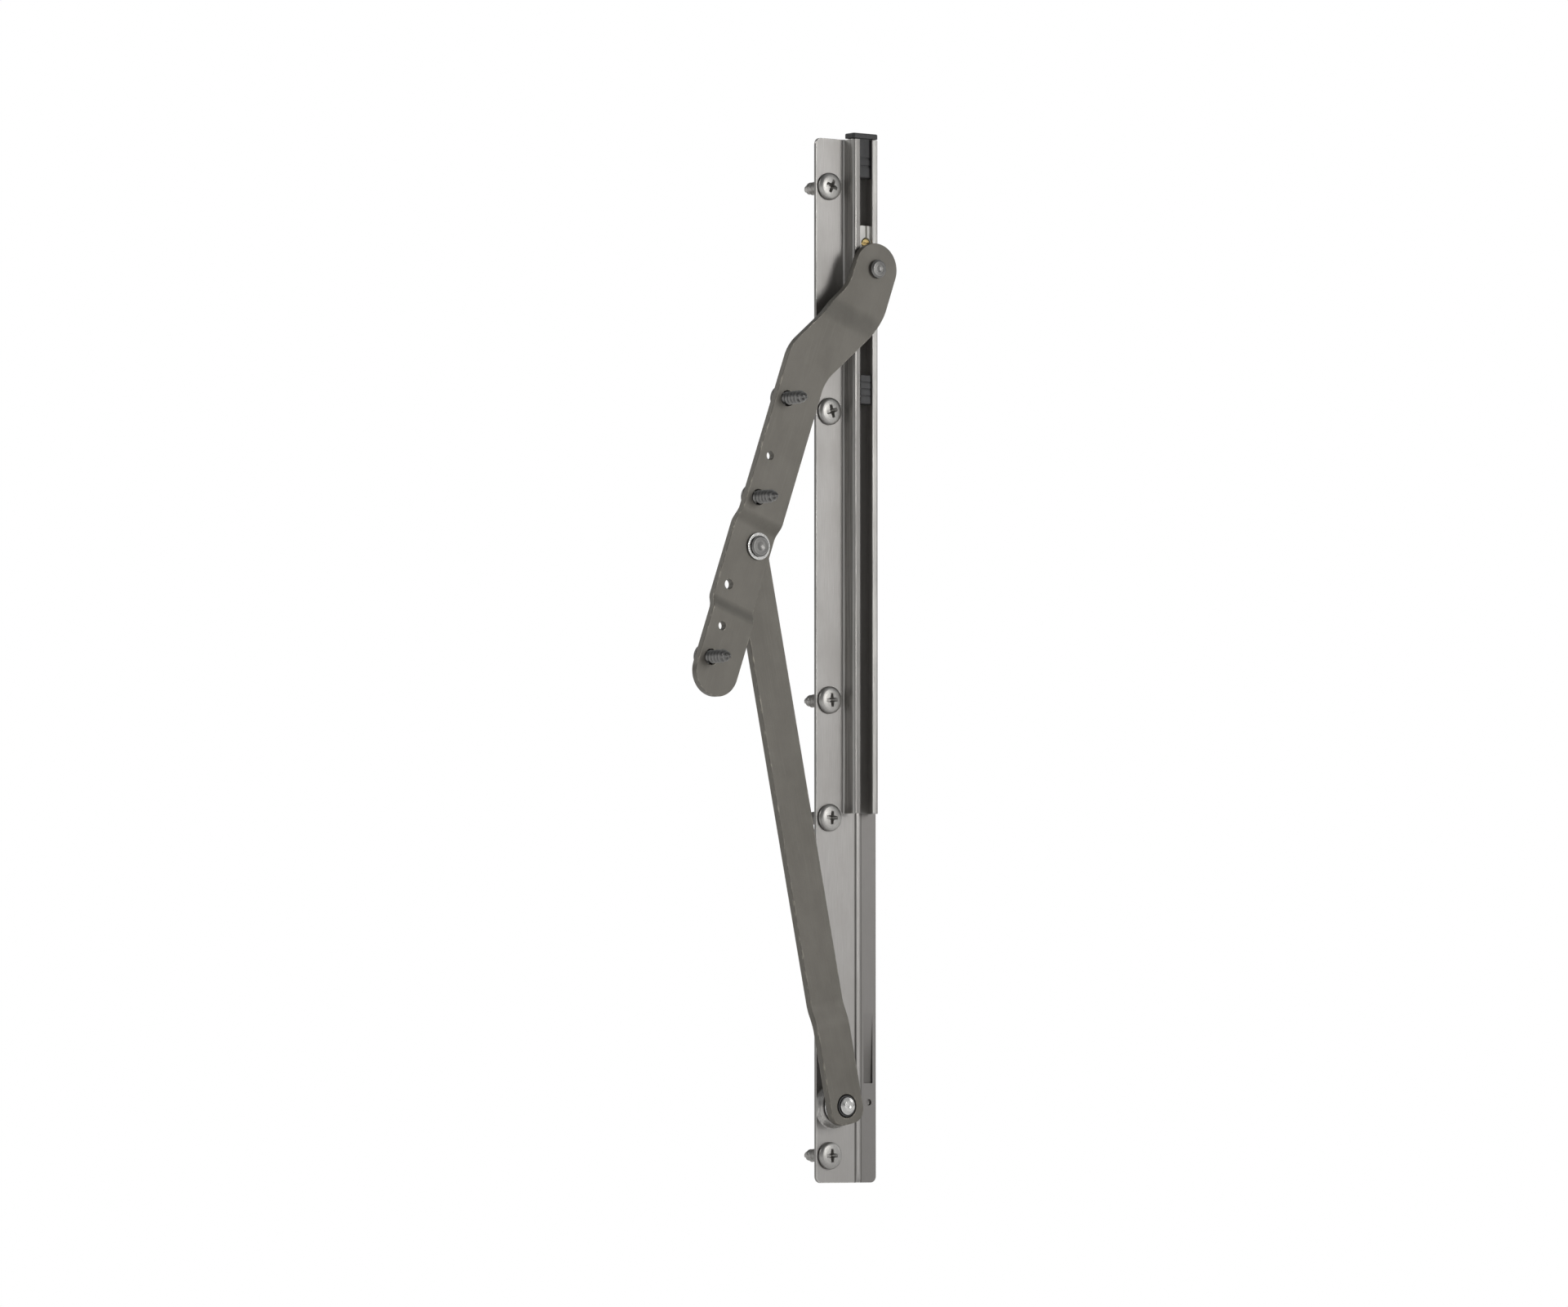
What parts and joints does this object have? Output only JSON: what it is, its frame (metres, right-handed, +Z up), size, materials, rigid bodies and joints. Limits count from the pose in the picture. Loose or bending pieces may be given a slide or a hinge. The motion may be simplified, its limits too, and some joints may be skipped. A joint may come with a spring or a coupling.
{
  "type": "friction stay hinge",
  "caption": "Two-arm friction stay for a top-hung window sash: stainless jamb track with a slide channel, riveted support arm, and a sash arm carried by a friction shoe.",
  "frame": {"origin": "centre of the track's back face, the face that lies on the window jamb", "axes": "+Z up along the track, +X out of the jamb towards the middle of the window, +Y indoors; the sash arm swings outdoors, to -Y"},
  "size_m": [0.0333, 0.079, 0.3256],
  "materials": {
    "stainless": "brushed stainless steel, satin, rolled lengthwise",
    "bronze_coating": "dark bronze-olive coating, semi-matte, over steel",
    "dark_steel": "dull grey steel, pressed head",
    "bright_steel": "bright steel, formed rivet and washer",
    "black_plastic": "moulded acetal, matte black",
    "white_plastic": "moulded acetal, off-white, matte",
    "brass": "turned brass, satin"
  },
  "bodies": {
    "track": {"track_channel": "stainless", "track_end_cap": "black_plastic", "open_travel_stop": "black_plastic", "track_screw_1": "stainless", "track_screw_2": "stainless", "track_screw_3": "stainless", "track_screw_4": "stainless", "track_screw_5": "stainless", "lower_pivot_rivet": "bright_steel", "lower_pivot_washer": "bright_steel"},
    "support_arm": {"support_arm": "bronze_coating", "lower_pivot_bush": "black_plastic", "upper_pivot_rivet": "dark_steel", "upper_pivot_washer": "bright_steel"},
    "sash_arm": {"sash_arm": "bronze_coating", "upper_pivot_bush": "black_plastic", "sash_screw_1": "dark_steel", "sash_screw_2": "dark_steel", "sash_screw_3": "dark_steel", "shoe_rivet": "dark_steel", "shoe_washer": "white_plastic"},
    "slide_shoe": {"slide_shoe": "white_plastic", "friction_pad": "brass"},
    "friction_screw": {"friction_screw": "brass"}
  },
  "joints": [
    {"name": "lower_pivot", "type": "hinge", "parent": "track", "child": "support_arm", "pos_m": [0.00665, -0.00495, -0.13815], "axis": [1, 0, 0], "range_deg": [-10.3, 8.24]},
    {"name": "upper_pivot", "type": "hinge", "parent": "support_arm", "child": "sash_arm", "pos_m": [0.007, -0.04104, 0.03309], "axis": [1, 0, 0], "range_deg": [-24.3, 30.4]},
    {"name": "shoe_pivot", "type": "hinge", "parent": "sash_arm", "child": "slide_shoe", "pos_m": [0.005, 0.0051, 0.12112], "axis": [1, 0, 0], "range_deg": [-20.1, 16.1]},
    {"name": "friction_screw_turn", "type": "hinge", "parent": "slide_shoe", "child": "friction_screw", "pos_m": [0.0038, 0.0051, 0.12952], "axis": [1, 0, 0], "range_deg": [-180, 180]}
  ],
  "couplings": [
    {"joint": "upper_pivot", "follows": "lower_pivot", "ratio": -2.9417},
    {"joint": "shoe_pivot", "follows": "lower_pivot", "ratio": 1.9417}
  ]
}
